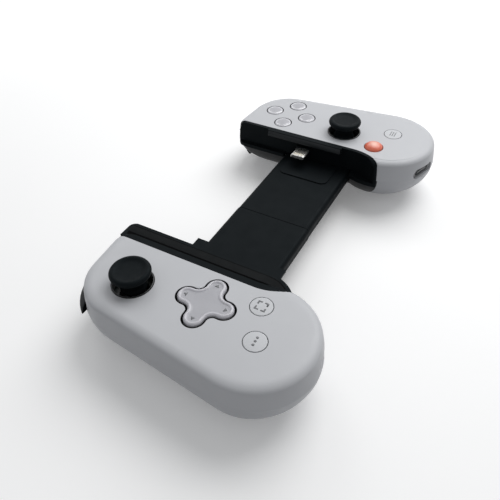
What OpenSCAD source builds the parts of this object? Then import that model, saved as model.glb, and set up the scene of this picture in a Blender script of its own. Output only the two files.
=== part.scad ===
// Clip-on game controller for a phone: two grips joined by a bridge that slides open.
// Millimetres. It lies on its back: +X runs to the right grip, +Y to the shoulder buttons, +Z up.
// Inside the modules z = 0 is the button face, and the place() module sets that face above the table.

/* [Grip] */
// Centre of the rounded lower end, along the object
grip_x = 64.8; // [63:0.1:67]
// Centre of the rounded lower end, across the object
grip_y = -23.8; // [-26:0.1:-22]
// Radius of the lower end at the parting line
grip_r = 23.2; // [22:0.1:25]
// Centre of the outer top corner, along the object
corner_x = 62.3; // [61.8:0.1:62.8]
// Centre of the outer top corner, across the object
corner_y = 25.8; // [25.4:0.1:26.4]
// Radius of the outer top corner
corner_r = 20.1; // [19.6:0.1:20.6]
// Slope of the top edge, rising towards the phone
top_lean = 4.5; // [0:0.1:5.5]
// Inner edge of the grip, along the object
inner_x = 45.3; // [44:0.1:46]
// Depth of the grip from the button face to the table
grip_depth = 27; // [26:0.1:28]
// Depth of the parting line between the two shells
parting_depth = 9.5; // [9.3:0.1:10]
// Wall of the shells
wall = 1.8; // [1.5:0.1:2]
// How far the side wall flares out from the face to the parting line
flare = 1.2; // [0.8:0.1:1.6]
// Width of the rounding along the edge of the face
face_edge_w = 3.5; // [2.5:0.1:4]
// Height of that rounding
face_edge_h = 2; // [1:0.1:2.4]
// Depth at which the back would close to its core, as a share of the depth below the parting line
back_fullness = 1.08; // [1.06:0.01:1.2]

/* [Buttons] */
// Centre of the four face buttons, along the object
face_x = 63.5; // [63:0.1:64]
// Centre of the four face buttons, across the object
face_y = 25.5; // [25:0.1:26]
// Distance of each face button from their centre
face_pitch = 8.78; // [8:0.01:9]
// Radius of a face button's hole
face_hole_r = 4.39; // [4:0.01:4.6]
// Height of the crown of a face button
face_crown = 1.35; // [0.6:0.05:2]
// Radius of a small button's hole
small_hole_r = 4.27; // [3.6:0.01:4.5]
// Height of a small button above the face
small_crown = 0.2; // [0.1:0.05:0.6]
// Radius of the home button's hole
home_hole_r = 4.45; // [4:0.01:4.6]
// Height of the crown of the home button
home_crown = 1.7; // [0.8:0.05:2.2]
// Travel of a face button
face_travel = 0.8; // [0.4:0.1:0.8]
// Running gap around a button
button_gap = 0.3; // [0.2:0.05:0.4]
// Flange of a button beyond its hole
button_flange = 0.4; // [0.3:0.05:0.45]

/* [Thumb stick] */
// Left stick, along the object from the middle
left_stick_x = 65.7; // [65:0.1:66]
// Left stick, across the object
left_stick_y = 24.9; // [24.5:0.1:25.2]
// Right stick, along the object
right_stick_x = 60.1; // [60:0.1:61]
// Right stick, across the object
right_stick_y = -4.4; // [-5:0.1:-4.3]
// Depth of the stick's pivot below the face
pivot_depth = 9.5; // [9.5:0.1:9.8]
// Radius of the stick's cap
cap_r = 7.1; // [6.5:0.1:7.4]
// Height of the cap's rim above the face
cap_top = 6.9; // [6.5:0.1:7.5]
// Radius of the cap's neck
neck_r = 3.8; // [3.4:0.1:4]
// Bore of the ring around the stick
well_r = 7.2; // [7:0.05:7.3]
// Radius of the stick's shaft
shaft_r = 1.9; // [1.6:0.1:2.2]
// Side of the stick module
module_side = 17; // [16.8:0.1:17.4]
// Click travel of the stick
stick_travel = 0.4; // [0.2:0.1:0.4]

/* [Direction pad] */
// Direction pad, along the object from the middle
dpad_x = 61.9; // [61.5:0.1:62.5]
// Direction pad, across the object
dpad_y = -3.2; // [-3.8:0.1:-3]
// Opening of the direction pad, tip to tip
dpad_span = 23.5; // [22:0.1:24.5]
// Width of an arm's opening
dpad_arm = 8.76; // [8:0.02:9.2]
// Fillet between two arms
dpad_fillet = 2.2; // [1:0.1:3]
// Height of the direction pad above the face
dpad_top = 1.3; // [0.8:0.1:1.8]
// Gap around the direction pad
dpad_gap = 0.5; // [0.45:0.05:0.6]

/* [Cradle] */
// Edge of the white face beside the cradle, along the object
cradle_x = 48; // [47.8:0.1:48.4]
// Radius of the lower corner of the cradle
cradle_corner_r = 20; // [16:0.5:22]
// Lower straight end of the cradle's edge, across the object
cradle_knee_y = -14; // [-16:0.5:-12]
// Thickness of the lip that holds the phone's front edge
lip_h = 2.85; // [2.4:0.05:3]
// Depth of the floor that the phone's back lies on
floor_depth = 11.4; // [11.2:0.1:11.8]
// Depth of the underside of the cradle
cradle_depth = 13.2; // [13:0.1:13.6]
// Thickness of the cradle's upright wall
cradle_wall = 1; // [0.8:0.1:1.2]
// Width of the rail over the left phone slot
rail_w = 6.8; // [5:0.1:7.5]
// Step from the face down to the rail
rail_step = 1.2; // [0.8:0.1:1.4]

/* [Bridge] */
// Lower edge of the bridge, across the object
bridge_low_y = -14.2; // [-15:0.1:-13]
// Width of the bridge
bridge_w = 34.6; // [33:0.1:36]
// Thickness of the bridge
bridge_h = 6.5; // [6.3:0.1:7]
// Thickness of the bridge's plates
bridge_plate = 1.1; // [1:0.05:1.2]
// Rounding of the bridge's long edges
bridge_edge_r = 2; // [1.4:0.1:2.2]
// Width lost on each edge of the right half of the bridge
bridge_step = 0.25; // [0.1:0.05:0.4]
// End of a bridge half inside its grip, along the object
bridge_end = 50; // [49:0.1:50.4]
// Clearance of the sliding core
slide_gap = 0.3; // [0.25:0.05:0.4]
// Opening of each half of the bridge
bridge_travel = 37.5; // [30:0.5:38]

/* [Phone plug and ports] */
// Plug, across the object
plug_y = 10; // [9.9:0.1:10.5]
// Depth of the plug's centre line below the face
plug_depth = 6; // [5.8:0.1:6.2]
// Width of the plug
plug_w = 6.7; // [6:0.1:8.4]
// Thickness of the plug
plug_h = 1.5; // [1.4:0.1:2.6]
// Reach of the plug from the cradle's wall
plug_reach = 8.5; // [6:0.1:9]
// Direction of the port in the lower end of each grip
port_angle = 250; // [245:1:255]
// Length of the port's oblong face
port_w = 13; // [12:0.1:14]
// Height of the port's oblong face
port_h = 4.8; // [4.6:0.1:5.2]
// Radius of the headphone jack
jack_r = 1.8; // [1.7:0.05:1.9]

/* [Shoulder] */
// Inner end of the bumper, along the object
bumper_x = 51.5; // [50:0.1:53]
// How far the bumper stands out from the grip
bumper_out = 2; // [1.8:0.1:2.2]
// Outer end of the bumper, across the object
bumper_low_y = 38; // [37.5:0.1:38.5]
// Press travel of the bumper
bumper_travel = 1; // [0.5:0.1:1]
// Inner end of the trigger, along the object
trigger_x = 53.6; // [53.4:0.1:54]
// Width of the trigger
trigger_w = 14.8; // [14:0.1:15.2]
// Trigger pin, across the object
pin_y = 38.3; // [38:0.1:38.4]
// Depth of the trigger pin below the face
pin_depth = 13.5; // [13.3:0.1:14]
// Radius of the trigger pin
pin_r = 1; // [0.8:0.05:1.1]

/* [Inside] */
// Thickness of the circuit board
board_h = 1.2; // [1:0.1:1.3]
// Thickness of the button membrane
membrane_h = 0.8; // [0.6:0.1:0.8]
// Radius of a screw's thread
screw_r = 1.2; // [1:0.05:1.3]
// Radius of a screw's head
screw_head_r = 2.1; // [1.9:0.05:2.2]
// Clearance of a pin in its bearing
pin_gap = 0.05; // [0.02:0.01:0.08]
// Fit of pieces that are seated in one another
fit = 0.1; // [0.05:0.01:0.15]

/* [Hidden] */
$fn = 48;
eps = 0.01;
far = 80;

// Small buttons: home and menu on the right grip, capture and options on the left
home_pos = [53.7, -21.5];
menu_pos = [67.9, -26];
capture_pos = [54.5, -20.9];
options_pos = [68.2, -25.9];
screw_places = [[73, 10], [73, -14]];

low_c = [grip_x, grip_y];
top_c = [corner_x, corner_y];
// The back closes towards this core: lower end, top corner and inner edge
core_low = [70, -18.2];
core_top = [64.3, 24];
core_inner = 69;
inner_corner_r = 4.2;
inner_bow = 0.06;
lip_inset = 3.2;
back_corner_r = 6;
knee_y = grip_y + 12.8;
arc_low = 30;
arc_top = 12;
arc_inner = 3;

// The top edge's outward direction, its run along the bumper, and the middle of the whole object
top_out = [sin(top_lean), cos(top_lean)];
bumper_run = (corner_x + corner_r * top_out.x - bumper_x) / top_out.y;
top_y = corner_y + (corner_r + bumper_out) * top_out.y + bumper_run * top_out.x;
face_shift_y = -(top_y + grip_y - grip_r) / 2;

// Depths of the rings that the shells are lofted through
front_levels = [parting_depth, 6.5, 4, 2, 1.5, 1, 0.6, 0.28, 0.08, 0];
cavity_levels = [[0, 0.5], [1.4, 0.2], [4.4, 0]];
back_steps = [1, 0.94, 0.86, 0.75, 0.63, 0.5, 0.35, 0.18, 0];
back_depth = grip_depth - parting_depth;
back_reach = back_depth * back_fullness;
cavity_steps = [0, 0.25, 0.5, 0.72, 1];

floor_z = -floor_depth;
bridge_mid_y = bridge_low_y + bridge_w / 2;
bridge_bottom = floor_depth + bridge_h;
bridge_split = floor_depth + bridge_h / 2;
bridge_seam = 0.15;
core_hold = 8.5;
core_half = bridge_travel + core_hold;
core_w = bridge_w - 2 * (bridge_plate + bridge_step + slide_gap) - 1;
core_top_z = floor_z - bridge_plate - slide_gap;
core_h = bridge_h - 2 * (bridge_plate + slide_gap);
spring_r = 1.05;
spring_wire_r = 0.3;
spring_y = [bridge_mid_y + 9, bridge_mid_y - 9];
spring_far = 38;
post_x = 3;
post_r = 0.8;
channel_w = 3.4;
channel_floor = 0.6;

board_inset = 6.8;
board_inner_x = cradle_x + 1.5;
flange_h = 0.95;
flange_clear = 0.15;
flange_top = -wall - flange_clear;
travel_spare = 0.3;
board_depth = wall + flange_clear + flange_h + face_travel + travel_spare + membrane_h;
board_bottom = -(board_depth + board_h);

pivot_z = -pivot_depth;
module_wall = 1.2;
frame_half = module_side / 2 - module_wall - slide_gap;
frame_wall = 1.35;
frame_up = 2.2;
frame_down = 2.6;
gimbal_r = 5.2;
gimbal_h = 2.4;
gimbal_bore_r = 3.4;
gimbal_pin_r = 1;
shaft_pin_r = 0.8;
hub_r = 2.4;
shaft_top = 4.1;
neck_low = -2.6;

dpad_pivot_z = -2.4;
dpad_under = -0.6;
dpad_pin_r = 0.8;
dpad_pin_reach = 4.4;
dpad_lug_in = 3;
dpad_lug_out = 4.6;
dpad_lug_r = 1.25;
dpad_base_half = 6;

lug_w = 1.4;
trigger_gap = 0.4;
rail_end_r = 14.5;
rail_end_y = cradle_knee_y - 2;
rail_top_r = 3;
rail_top_y = 46.1;
rail_hold = 1.5;
lip_edge = 1.6;
lip_low_y = -9;
lip_high_y = 29;
flange_x = 25.6;
flange_low_w = 4.8;
flange_high_w = 7.1;
tongue_x = 30.8;
tongue_r = 3;
tongue_h = 0.5;
tongue_low = 11;
tongue_high = 13;
port_set = 6.5;
port_len = 4.9;
port_floor = 0.9;
bumper_room = 5;
bumper_seam = 0.3;
bumper_h = 4.3;
bumper_head = 0.3;
bumper_top = parting_depth - bumper_seam - bumper_h - bumper_head;
slot_gap = 0.25;
hub_out_r = 2.4;
boss_r = 3.2;
front_boss_r = 2.6;
screw_seat = 15.5;
screw_head_h = 1.5;
screw_end = 3.4;

block_half = 5.4;
block_end = 57;

function arc(c, r, a0, a1, n) = [for (i = [0:n]) let(a = a0 + (a1 - a0) * i / n) c + r * [cos(a), sin(a)]];

// Direction of the outer normal of the line that touches both round ends
function tangent(a, ra, b, rb) = let(d = b - a) atan2(d.y, d.x) - acos((ra - rb) / norm(d));

// Height of the top edge at x, for a corner of radius r about c
function top_edge(c, r, x) = c.y + (r - (x - c.x) * top_out.x) / top_out.y;

// Closed outline of a grip: lower end, outer side, top corner, inner corner and straight inner edge
function outline(a, ra, b, rb, xi, rc) =
    let(t = tangent(a, ra, b, rb), start = acos(max(-1, (xi - a.x) / ra)), top = 90 - top_lean)
    concat(arc(a, ra, start, 360 + t, arc_low), arc(b, rb, t, top, arc_top),
           arc([xi + rc, top_edge(b, rb - rc, xi + rc)], rc, top, 180, arc_inner));

// Outline of the front, set in by d, or of the cavity, set in by a wall w
function front_outline(d, w = 0) = concat(
    outline(low_c, grip_r - d - w, top_c, corner_r - d - w, inner_x + w * 0.6, inner_corner_r),
    [[inner_x + w * 0.6 - inner_bow, knee_y]]);
function back_outline(s, w = 0) =
    outline(low_c + (core_low - low_c) * s, grip_r * (1 - s) - w, top_c + (core_top - top_c) * s,
            corner_r * (1 - s) - w, inner_x + (core_inner - inner_x) * s + w, inner_corner_r + back_corner_r * s);

// Inset of the front at a depth below the face, and closing of the back below the parting line
function front_inset(h) = flare * pow(max(0, 1 - h / parting_depth), 1.3)
    + (h < face_edge_h ? face_edge_w * (1 - sqrt(1 - pow(1 - h / face_edge_h, 2))) : 0);
function back_close(h) = 1 - sqrt(1 - pow((h - parting_depth) / back_reach, 2));

function lift(ring, z) = [for (p = ring) [p.x, p.y, z]];

// Solid through rings of equal length, each counter-clockwise seen from the next one
module skin(rings) {
    n = len(rings[0]);
    last = (len(rings) - 1) * n;
    polyhedron([for (r = rings) each r],
               concat([[for (i = [0:n - 1]) i]],
                      [[for (i = [0:n - 1]) last + n - 1 - i]],
                      [for (k = [0:len(rings) - 2], i = [0:n - 1])
                          let(a = k * n + i, b = k * n + (i + 1) % n) each [[a, a + n, b + n], [a, b + n, b]]]));
}

// Wire wound about the X axis from x0 to x1
module coil(x0, x1, turns, r, wire_r, per_turn = 10, sides = 6) {
    skin([for (i = [0:turns * per_turn])
        let(a = 360 * i / per_turn, x = x0 + (x1 - x0) * i / (turns * per_turn))
        [for (j = [0:sides - 1]) let(f = 360 * j / sides)
            [x + wire_r * cos(f), (r + wire_r * sin(f)) * cos(a), (r + wire_r * sin(f)) * sin(a)]]]);
}

module place() { translate([0, face_shift_y, grip_depth]) children(); }
module left_side() { mirror([1, 0, 0]) children(); }
module rod(p, r, h) { translate(p) cylinder(r = r, h = h); }
module rod_x(x0, x1, y, z, r) { translate([x0, y, z]) rotate([0, 90, 0]) cylinder(r = r, h = x1 - x0); }
module rod_y(x, y0, y1, z, r) { translate([x, y0, z]) rotate([-90, 0, 0]) cylinder(r = r, h = y1 - y0); }
module block(lo, hi) { translate(lo) cube(hi - lo); }
module rounded(w, h, r) {
    square([w - 2 * r, h], center = true);
    square([w, h - 2 * r], center = true);
    for (sx = [-1, 1], sy = [-1, 1]) translate([sx * (w / 2 - r), sy * (h / 2 - r)]) circle(r);
}

// Plan of everything on the phone's side of the white face, grown by g
module cradle_plan(g = 0) {
    polygon(concat(arc([cradle_x - cradle_corner_r, cradle_knee_y], cradle_corner_r + g, -90, 0, 20),
                   [[cradle_x + g, far], [0, far], [0, cradle_knee_y - cradle_corner_r - g]]));
}

// Plan of the white side of that edge, grown over it by g
module shell_plan(g = 0) {
    polygon(concat(arc([cradle_x - cradle_corner_r, cradle_knee_y], cradle_corner_r - g, -90, 0, 20),
                   [[cradle_x - g, far], [2 * far, far], [2 * far, -far], [cradle_x - cradle_corner_r, -far]]));
}

module port_frame() { translate([grip_x, grip_y, -parting_depth + 1.5]) rotate([0, 0, port_angle]) children(); }
module port_plan(g = 0) { rounded(port_h + 2 * g, port_w + 2 * g, port_h / 2 + g - eps); }
module port_hole() { port_frame() translate([grip_r - port_set - fit, 0, 0]) rotate([0, 90, 0])
    linear_extrude(20) port_plan(fit); }

module bumper_slot() {
    translate([0, 0, -parting_depth - 0.1]) linear_extrude(parting_depth + 0.1 - bumper_top) intersection() {
        difference() {
            polygon(front_outline(-bumper_room));
            polygon(front_outline(bumper_room));
        }
        translate([bumper_x - 0.4, bumper_low_y - bumper_travel - slot_gap]) square(far);
    }
}

// Front shell of a grip, with the holes of its controls as children
module front_shell() {
    difference() {
        skin(concat(
            [for (c = cavity_levels) lift(front_outline(front_inset(wall + c[0]), wall + c[1]), -wall - c[0])],
            [lift(front_outline(0, wall), -parting_depth)],
            [for (h = front_levels) lift(front_outline(front_inset(h)), -h)]));
        translate([0, 0, -far / 2]) linear_extrude(far) cradle_plan();
        children();
        bumper_slot();
        port_hole();
    }
    for (p = screw_places) difference() {
        rod([p.x, p.y, -parting_depth], front_boss_r, parting_depth - wall + eps);
        rod([p.x, p.y, -parting_depth - eps], screw_r + pin_gap, parting_depth - screw_end + 0.2);
    }
}

module through(p, r) { rod([p.x, p.y, -wall - 1], r, wall + 4); }

// Room for the trigger: its hub and arm, then the sweep of its paddle
module trigger_pocket() {
    x0 = trigger_x - trigger_gap;
    x1 = trigger_x + trigger_w + trigger_gap;
    block([x0, pin_y - hub_out_r - 0.6, -pin_depth - hub_out_r - 0.6], [x1, far, -parting_depth + 1]);
    block([x0, pin_y + 2.1, -pin_depth - 11.9], [x1, far, -parting_depth + 1]);
}

// Middle of the back shell's top wall, across the object, at a place along it and a depth
function top_wall(x, h) =
    let(s = back_close(h), c = top_c + (core_top - top_c) * s, r = corner_r * (1 - s) - wall / 2)
    x > c.x + r * top_out.x ? c.y + sqrt(r * r - pow(x - c.x, 2)) : top_edge(c, r, x);

// Lug that carries an end of the trigger pin, grown from the top wall
module pin_lug(x) {
    y0 = pin_y - hub_out_r - 0.6;
    low = pin_depth + 4;
    levels = [for (i = [0:4]) parting_depth + fit + (low - parting_depth - fit) * i / 4];
    translate([x, 0, 0]) rotate([90, 0, 90]) linear_extrude(lug_w)
        polygon(concat([[y0, -low], [y0, -parting_depth - fit]],
                       [for (h = levels) [top_wall(x + lug_w / 2, h), -h]]));
}

module back_shell() {
    difference() {
        union() {
            skin(concat(
                [for (f = back_steps) let(h = parting_depth + f * back_depth)
                    lift(back_outline(back_close(h)), -h)],
                [for (f = cavity_steps) let(h = parting_depth + f * (back_depth - wall))
                    lift(back_outline(back_close(h), wall), -h)]));
            for (p = screw_places) rod([p.x, p.y, -grip_depth + wall / 2], boss_r, back_depth - wall / 2);
            for (x = [trigger_x - trigger_gap - lug_w, trigger_x + trigger_w + trigger_gap]) pin_lug(x);
        }
        translate([0, 0, -cradle_depth]) linear_extrude(far) cradle_plan();
        block([0, bridge_low_y - fit, -bridge_bottom - fit],
              [bridge_end + fit, bridge_low_y + bridge_w + fit, -floor_depth + fit]);
        trigger_pocket();
        port_hole();
        rod_x(trigger_x - 4, trigger_x + trigger_w + 4, pin_y, -pin_depth, pin_r + pin_gap / 2);
        for (p = screw_places) {
            rod([p.x, p.y, -grip_depth - 1], screw_r + pin_gap, far);
            rod([p.x, p.y, -grip_depth - 1], screw_head_r + 0.2, grip_depth + 1 - screw_seat);
        }
    }
}

module case_screws() {
    for (p = screw_places) {
        rod([p.x, p.y, -screw_seat - screw_head_h], screw_head_r, screw_head_h);
        rod([p.x, p.y, -screw_seat - eps], screw_r, screw_seat - screw_end);
    }
}

// Channel that takes the edge of the phone: front lip, upright wall and floor
module cradle_body() {
    difference() {
        skin(concat([lift(front_outline(0), -cradle_depth)],
                    [for (h = front_levels) lift(front_outline(min(front_inset(h), lip_inset)), -h)]));
        translate([0, 0, -far / 2]) linear_extrude(far) shell_plan(fit);
        translate([0, 0, -floor_depth]) linear_extrude(floor_depth - lip_h) cradle_plan(-cradle_wall);
        block([inner_x - 5, bridge_low_y - fit, -cradle_depth - 1],
              [cradle_x + 1, bridge_low_y + bridge_w + fit, -floor_depth + fit]);
    }
}

// The right lip is cut back beyond the ends of the plug's shelf
module right_cradle_lip() {
    for (y = [[-far, lip_low_y], [lip_high_y, far]]) translate([0, 0, -lip_h - 1]) linear_extrude(lip_h + 2)
        intersection() {
            cradle_plan(-lip_edge);
            translate([0, y[0]]) square([far, y[1] - y[0]]);
        }
}

module left_rail() {
    x0 = inner_x - rail_w;
    w = rail_w + rail_hold;
    translate([0, 0, -lip_h]) linear_extrude(lip_h - rail_step) difference() {
        union() {
            intersection() {
                translate([x0 + rail_end_r, rail_end_y]) circle(rail_end_r, $fn = 96);
                translate([x0, rail_end_y - rail_end_r]) square([w, rail_end_r + 1]);
            }
            translate([x0, rail_end_y]) square([w, rail_top_y - rail_top_r - rail_end_y]);
            translate([x0 + rail_top_r, rail_top_y - rail_top_r]) circle(rail_top_r);
            translate([x0 + rail_top_r, rail_top_y - rail_top_r - 1]) square([w - rail_top_r, rail_top_r + 1]);
        }
        shell_plan(fit + 0.5);
    }
}

// Half of the bridge's hollow section: the cover above the split or the back below it
module bridge_section(w, upper) {
    inner_w = w - 2 * (bridge_plate + 0.5);
    rotate([90, 0, 90]) linear_extrude(bridge_end - bridge_seam) intersection() {
        translate([bridge_mid_y, -floor_depth - bridge_h / 2]) difference() {
            rounded(w, bridge_h, bridge_edge_r);
            square([inner_w, bridge_h - 2 * bridge_plate], center = true);
        }
        translate([-far / 2, upper ? -bridge_split : -far - bridge_split]) square([far * 1.5, far]);
    }
}

module bridge_post(y) { rod([post_x, y, core_top_z - core_h + channel_floor + 0.5], post_r,
                            core_h + slide_gap - channel_floor - 0.5 + eps); }

module control_holes_right() {
    for (a = [0:90:270]) through([face_x, face_y] + face_pitch * [cos(a), sin(a)], face_hole_r);
    through([right_stick_x, right_stick_y], well_r + 0.65);
    through(home_pos, home_hole_r);
    through(menu_pos, small_hole_r);
}

module control_holes_left() {
    through([left_stick_x, left_stick_y], well_r + 0.65);
    through(capture_pos, small_hole_r);
    through(options_pos, small_hole_r);
    translate([dpad_x, dpad_y, -wall - 1]) linear_extrude(wall + 4) dpad_plan(0);
}

// Cross of the direction pad, set in by g
module dpad_plan(g) {
    w = dpad_arm - 2 * g;
    f = dpad_fillet + g;
    for (a = [0, 90]) rotate(a) rounded(dpad_span - 2 * g, w, w / 2 - eps);
    for (a = [0:90:270]) rotate(a) translate([w / 2 - eps, w / 2 - eps]) difference() {
        square(f);
        translate([f, f]) circle(f);
    }
}

// Round button: crowned cap in its hole and a flange under the face
module button(p, hole_r, crown, dome) {
    r = hole_r - button_gap;
    ball_r = (r * r + dome * dome) / (2 * dome);
    half = asin(r / ball_r);
    translate([p.x, p.y, 0]) rotate_extrude() polygon(concat(
        [[0, flange_top - flange_h], [hole_r + button_flange, flange_top - flange_h],
         [hole_r + button_flange, flange_top], [r, flange_top]],
        [for (i = [0:6]) let(a = half * (1 - i / 6)) [ball_r * sin(a), crown - ball_r * (1 - cos(a))]]));
}

// Flat sheet inside a grip, with its cut-outs as children
module sheet(z, h) {
    translate([0, 0, z]) linear_extrude(h) difference() {
        intersection() {
            polygon(front_outline(board_inset));
            translate([board_inner_x, -far]) square(2 * far);
        }
        for (p = screw_places) translate(p) circle(front_boss_r + 0.15);
        children();
    }
}

module board_cuts_right() {
    translate([right_stick_x, right_stick_y]) circle(well_r - 1.5);
    translate([0, plug_y - block_half - 0.4]) square([block_end + 0.4, 2 * block_half + 0.8]);
}

module stick_well(p) {
    translate([p.x, p.y, 0]) rotate_extrude() polygon([
        [well_r, -wall - 1.6], [well_r + 2, -wall - 1.6], [well_r + 2, -wall], [well_r + 0.5, -wall],
        [well_r + 0.5, 0.1], [well_r + 0.3, 0.3], [well_r, 0.3]]);
}

module stick_module(p) {
    half = module_side / 2;
    low = pivot_z - frame_down - stick_travel - slide_gap;
    translate([p.x, p.y, 0]) difference() {
        block([-half, -half, low - 1], [half, half, board_bottom]);
        block([-half + module_wall, -half + module_wall, low], [half - module_wall, half - module_wall, 1]);
    }
}

module stick_frame(p) {
    inner = frame_half - frame_wall;
    translate([p.x, p.y, pivot_z]) difference() {
        block([-frame_half, -frame_half, -frame_down], [frame_half, frame_half, frame_up]);
        block([-inner, -inner, -far], [inner, inner, far]);
        rod_x(-far, far, 0, 0, gimbal_pin_r + pin_gap);
    }
}

module stick_gimbal(p) {
    translate([p.x, p.y, pivot_z]) difference() {
        union() {
            translate([0, 0, -gimbal_h / 2]) cylinder(r = gimbal_r, h = gimbal_h);
            rod_x(-frame_half + 0.1, frame_half - 0.1, 0, 0, gimbal_pin_r);
        }
        translate([0, 0, -gimbal_h]) cylinder(r = gimbal_bore_r, h = 2 * gimbal_h);
        rod_y(0, -far, far, 0, shaft_pin_r + pin_gap);
    }
}

module stick_shaft(p) {
    translate([p.x, p.y, pivot_z]) {
        sphere(hub_r);
        cylinder(r = shaft_r, h = pivot_depth + shaft_top);
        rod_y(0, -gimbal_r + 0.2, gimbal_r - 0.2, 0, shaft_pin_r);
    }
}

module stick_cap(p) {
    rim = cap_top;
    translate([p.x, p.y, 0]) rotate_extrude() polygon([
        [0, rim - 1.2], [cap_r - 3.6, rim - 1.1], [cap_r - 1.9, rim - 0.7], [cap_r - 1.1, rim - 0.15],
        [cap_r - 0.6, rim], [cap_r - 0.2, rim - 0.2], [cap_r, rim - 0.7], [cap_r - 0.05, rim - 1.4],
        [cap_r - 0.35, rim - 1.9], [cap_r - 0.5, rim - 2.2], [cap_r - 0.35, rim - 2.45],
        [cap_r, rim - 2.7], [cap_r + 0.05, rim - 3.2], [cap_r - 0.2, rim - 3.6], [cap_r - 0.9, rim - 3.7],
        [neck_r + 0.8, rim - 4.2], [neck_r, rim - 4.9], [neck_r, neck_low + 0.6],
        [neck_r - 0.4, neck_low], [shaft_r + pin_gap, neck_low], [shaft_r + pin_gap, shaft_top + pin_gap],
        [0, shaft_top + pin_gap]]);
}

// Profile of the bumper, out from the parting outline and up from its lower face: a ridge that leans back above
bumper_section = [[-3, 0], [bumper_out - 0.3, 0], [bumper_out, 0.3], [bumper_out, 0.7], [bumper_out * 0.6, 2],
                  [bumper_out / 4, 2.9], [0, 3.6], [-0.4, 4.1], [-1, bumper_h], [-3, bumper_h]];

// The bumper follows the top edge and then the corner, and ends square
module bumper() {
    corner_end = 26;
    stations = concat([for (run = [bumper_run, bumper_run / 2]) [run, 90 - top_lean]],
                      [for (i = [0:10]) [0, 90 - top_lean + (corner_end - 90 + top_lean) * i / 10]]);
    difference() {
        skin([for (s = stations) [for (p = bumper_section)
            [corner_x + (corner_r + p.x) * cos(s[1]) - s[0] * top_out.y,
             corner_y + (corner_r + p.x) * sin(s[1]) + s[0] * top_out.x, p.y + bumper_seam - parting_depth]]]);
        block([corner_x, corner_y, -parting_depth - 1], [far + 20, bumper_low_y, 0]);
    }
}

module trigger() {
    spring_x0 = trigger_x + trigger_w / 2 - 3.4;
    difference() {
        union() {
            rod_x(trigger_x, trigger_x + trigger_w, pin_y, -pin_depth, hub_out_r);
            translate([trigger_x, pin_y, -pin_depth]) rotate([90, 0, 90]) linear_extrude(trigger_w)
                polygon(concat([[0.2, hub_out_r - 0.1], [7.6, 2.9]], arc([8.6, 1.6], 1.3, 80, 10, 4),
                               [[10.3, -1.6], [9.6, -5], [7.8, -8.4], [6.4, -10], [5.5, -9.6], [6.6, -6.6],
                                [6.6, -2.6], [5.6, -1.4], [0.2, 0.1 - hub_out_r]]));
        }
        rod_x(0, far * 2, pin_y, -pin_depth, pin_r + pin_gap);
        block([spring_x0, pin_y - 4, -pin_depth - 4], [spring_x0 + 6.8, pin_y + 2.9, -pin_depth + 2.9 - eps]);
    }
}

module trigger_pin() {
    reach = trigger_gap + lug_w;
    rod_x(trigger_x - reach, trigger_x + trigger_w + reach, pin_y, -pin_depth, pin_r);
}

module trigger_spring() {
    x = trigger_x + trigger_w / 2;
    translate([0, pin_y, -pin_depth]) coil(x - 2.6, x + 2.6, 4, pin_r + 0.65, 0.35);
}

module return_spring(y) {
    translate([0, y, core_top_z - core_h + channel_floor + spring_r + spring_wire_r + 0.15])
        coil(-spring_far + 0.6, post_x - post_r - 0.6, 14, spring_r, spring_wire_r);
}

// Right grip
module right_front_shell() { color("whitesmoke") place() front_shell() control_holes_right(); }
module right_back_shell() { color("whitesmoke") place() back_shell(); }
module right_cradle() {
    color("dimgray") place() difference() {
        cradle_body();
        right_cradle_lip();
        block([inner_x - 5, plug_y - plug_w / 2 - fit, -plug_depth - plug_h / 2 - fit],
              [cradle_x + 1, plug_y + plug_w / 2 + fit, -plug_depth + plug_h / 2 + fit]);
    }
}
module right_stick_well() { color("black") place() stick_well([right_stick_x, right_stick_y]); }
module right_stick_module() { color("gray") place() stick_module([right_stick_x, right_stick_y]); }
module right_circuit_board() { color("green") place() sheet(board_bottom, board_h) board_cuts_right(); }
module right_button_membrane() {
    color("gainsboro") place() sheet(-board_depth, membrane_h) {
        board_cuts_right();
        translate([right_stick_x, right_stick_y]) circle(well_r + 2.4);
    }
}
module phone_plug() {
    color("silver") place() translate([cradle_x - cradle_wall - plug_reach, plug_y, -plug_depth])
        rotate([90, 0, 90]) linear_extrude(plug_reach + cradle_wall - fit) rounded(plug_w, plug_h, plug_h / 2 - 0.02);
}
module plug_block() {
    color("dimgray") place() block([cradle_x - fit, plug_y - block_half, -parting_depth + 0.3],
                                   [block_end, plug_y + block_half, -wall - 0.8]);
}
module charging_port() {
    color("dimgray") place() port_frame() translate([grip_r - port_set, 0, 0]) rotate([0, 90, 0]) difference() {
        linear_extrude(port_len) port_plan();
        translate([0, 0, port_floor]) linear_extrude(port_len) difference() {
            rounded(3.2, 9, 1.5);
            square([0.7, 6.6], center = true);
        }
    }
}
module right_case_screws() { color("darkgray") place() case_screws(); }
module right_bridge_cover() {
    color("dimgray") place() {
        translate([bridge_seam, 0, 0]) bridge_section(bridge_w - 2 * bridge_step, true);
        bridge_post(spring_y[0]);
        translate([0, 0, floor_z - eps]) linear_extrude(tongue_h) {
            x = tongue_x + tongue_r;
            y0 = bridge_mid_y - tongue_low + tongue_r;
            y1 = bridge_mid_y + tongue_high - tongue_r;
            translate([x, y0 - tongue_r]) square([inner_x - x - 0.6, tongue_low + tongue_high]);
            translate([tongue_x, y0]) square([tongue_r + 1, y1 - y0]);
            for (y = [y0, y1]) translate([x, y]) circle(tongue_r);
        }
    }
}
module right_bridge_back() {
    color("dimgray") place() translate([bridge_seam, 0, 0]) bridge_section(bridge_w - 2 * bridge_step, false);
}
module right_trigger_pin() { color("silver") place() trigger_pin(); }
module right_trigger_spring() { color("silver") place() trigger_spring(); }

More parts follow.
